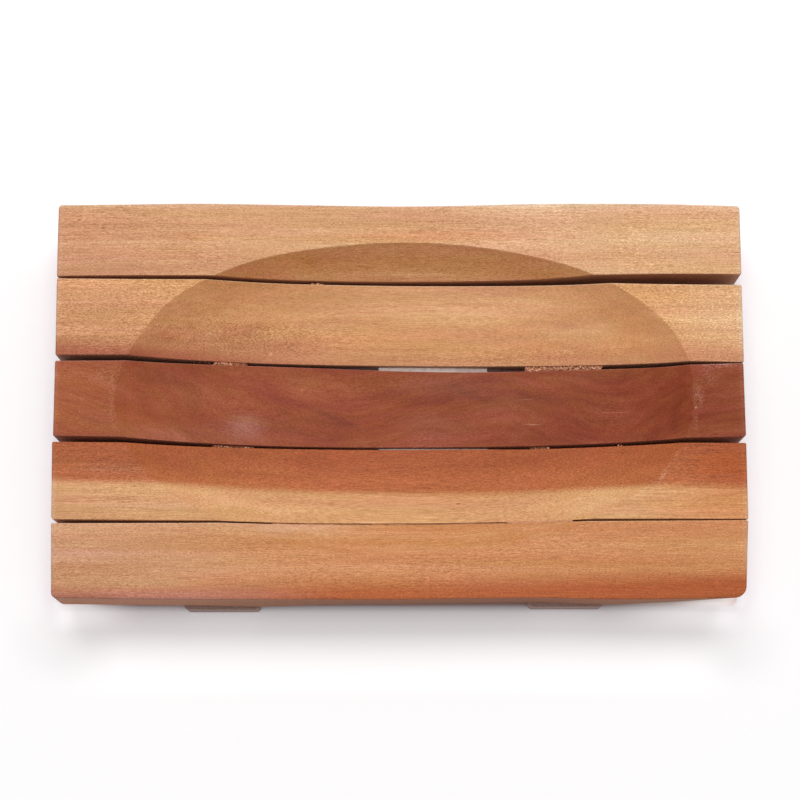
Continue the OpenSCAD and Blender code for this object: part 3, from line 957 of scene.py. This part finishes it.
# The floor turns to plain white away from the dish. Near the dish the light it adds is painted
# light and shadow, a sum of smooth steps, each from one distance in mm to another: round the
# footprint, ahead of it, at its front corners and at their feet. All but the first are
# multiplied by steps along X. Under the dish it is painted shade, brown as the light bounced
# off the wood.
stage = {
    "floorSize": 3,
    "paintedUnderShade": "#CBA9A0",
    # the lilac close round the footprint is the painted tint of the dish's shadow
    "colors": [(0.9, 1.7, "#F7F1F6"), (2, 10, "#F7F6F7")],  # round the footprint, from, to
    "footprint": (64, 36),
    "round": [(1.3, 2.9, 0.19), (2.8, 4, 0.02), (4, 13, -0.11), (200, 900, 0.8)],
    "ahead": [(3.5, 12, 0.17), (12, 20, -0.17)],
    "aheadAlong": [(-66, -52, 1), (54, 66, -1)],
    "corner": [(0.2, 1, 0.3), (1, 8, -0.3)],
    "cornerAlong": [(-68, -63, 1), (-62, -49, -1), (37, 58, 1), (61, 67.5, -1)],
    "foot": [(-1.6, -0.6, 0.5), (0, 2.4, -0.5)],
    "footAlong": [(-68, -63, 0.6), (-62, -56, -0.6), (51, 62, 1), (63, 68, -1)],
}


def smoothSteps(add, value, steps):
    # sum of smooth steps of the value: each rises from 0 to its amount between two places in mm
    total = 0.0
    for low, high, amount in steps:
        step = add("MapRange SMOOTHSTEP", [value, low * mm, high * mm, 0, amount])
        total = add("Math ADD", [step, total])
    return total


def makeFloor(look):
    mesh = bpy.data.meshes.new("floor")
    r = look["floorSize"] / 2
    corners = [(-r, -r, floorZ), (r, -r, floorZ), (r, r, floorZ), (-r, r, floorZ)]
    mesh.from_pydata(corners, [], [(0, 1, 2, 3)])
    floor = bpy.data.objects.new("floor", mesh)
    scene.collection.objects.link(floor)
    material, add, coords = newMaterial("matt white paper floor")
    axes = add("SeparateXYZ", [coords]).node.outputs
    halfX, halfY = (v * mm for v in look["footprint"])
    out = add("VectorMath ABSOLUTE", [coords])
    out = add("VectorMath SUBTRACT", [out, (halfX, halfY, 0)])
    out = add("VectorMath MAXIMUM", [out, (0, 0, 0)])
    away = add("VectorMath LENGTH", [out])
    ahead = add("Math MULTIPLY_ADD", [axes["Y"], -1.0, -halfY])
    glow = smoothSteps(add, away, look["round"])
    for part in ("ahead", "corner", "foot"):
        glow = add("Math MULTIPLY_ADD", [
            smoothSteps(add, ahead, look[part]), smoothSteps(add, axes["X"], look[part + "Along"]), glow])
    rays = add("LightPath").node.outputs
    seen = add("Math MAXIMUM", [rays["Is Camera Ray"], rays["Is Glossy Ray"]])
    seen = add("Math MAXIMUM", [seen, rays["Is Transmission Ray"]])
    glow = add("Math MULTIPLY", [glow, seen])
    color = linear(look["paintedUnderShade"])
    for low, high, shade in look["colors"]:
        step = smoothSteps(add, away, [(low, high, 1)])
        color = add("Mix RGBA", [step, color, linear(shade)])
    diffuse = add("BsdfDiffuse", {"Color": color})
    light = add("Emission", {"Color": (1, 1, 1, 1), "Strength": glow})
    add("OutputMaterial", [add("AddShader", [diffuse, light])])
    mesh.materials.append(material)


makeFloor(stage)


def aimed(name, data, place, target):
    # an object at place whose -Z axis looks at target
    thing = bpy.data.objects.new(name, data)
    thing.location = place
    thing.rotation_euler = (Vector(target) - Vector(place)).to_track_quat("-Z", "Y").to_euler()
    scene.collection.objects.link(thing)
    return thing


lamps = {
    # wide soft box above and behind the dish, and a weak one straight above it
    "softBox": {"place": (0.03, 0.50, 1.05), "size": (1.1, 0.55), "watts": 8.6},
    "topBox": {"place": (0.0, -0.02, 1.15), "size": (0.6, 0.4), "watts": 2.6},
}
for name, look in lamps.items():
    data = bpy.data.lights.new(name, "AREA")
    data.shape = "RECTANGLE"
    data.size, data.size_y = look["size"]
    data.energy = look["watts"]
    aimed(name, data, look["place"], (0, 0, hollow["topZ"] * mm))

# dim light from all round, and a plain white background
roomLight = 0.32
world = bpy.data.worlds.new("room")
world.use_nodes = True
world.node_tree.nodes.clear()
add = partial(addNode, world.node_tree)
dim, white = (add("Background", [(1, 1, 1, 1), strength]) for strength in (roomLight, 1.0))
add("OutputWorld", [add("MixShader", [add("LightPath", out="Is Camera Ray"), dim, white])])
scene.world = world

# the camera of the photo: its place and what it looks at in metres, and its focal length in
# pixels of an image 800 wide
view = {"place": (0.00022, -0.0720, 0.4185), "target": (0.00022, -0.00027, 0.0185), "focal": 2165.3}
cameraData = bpy.data.cameras.new("photoCamera")
cameraData.sensor_width = 36.0
cameraData.lens = cameraData.sensor_width * view["focal"] / 800
scene.camera = aimed("photoCamera", cameraData, view["place"], view["target"])
scene.view_settings.view_transform = "Standard"
print("soap dish: floor, light and camera")
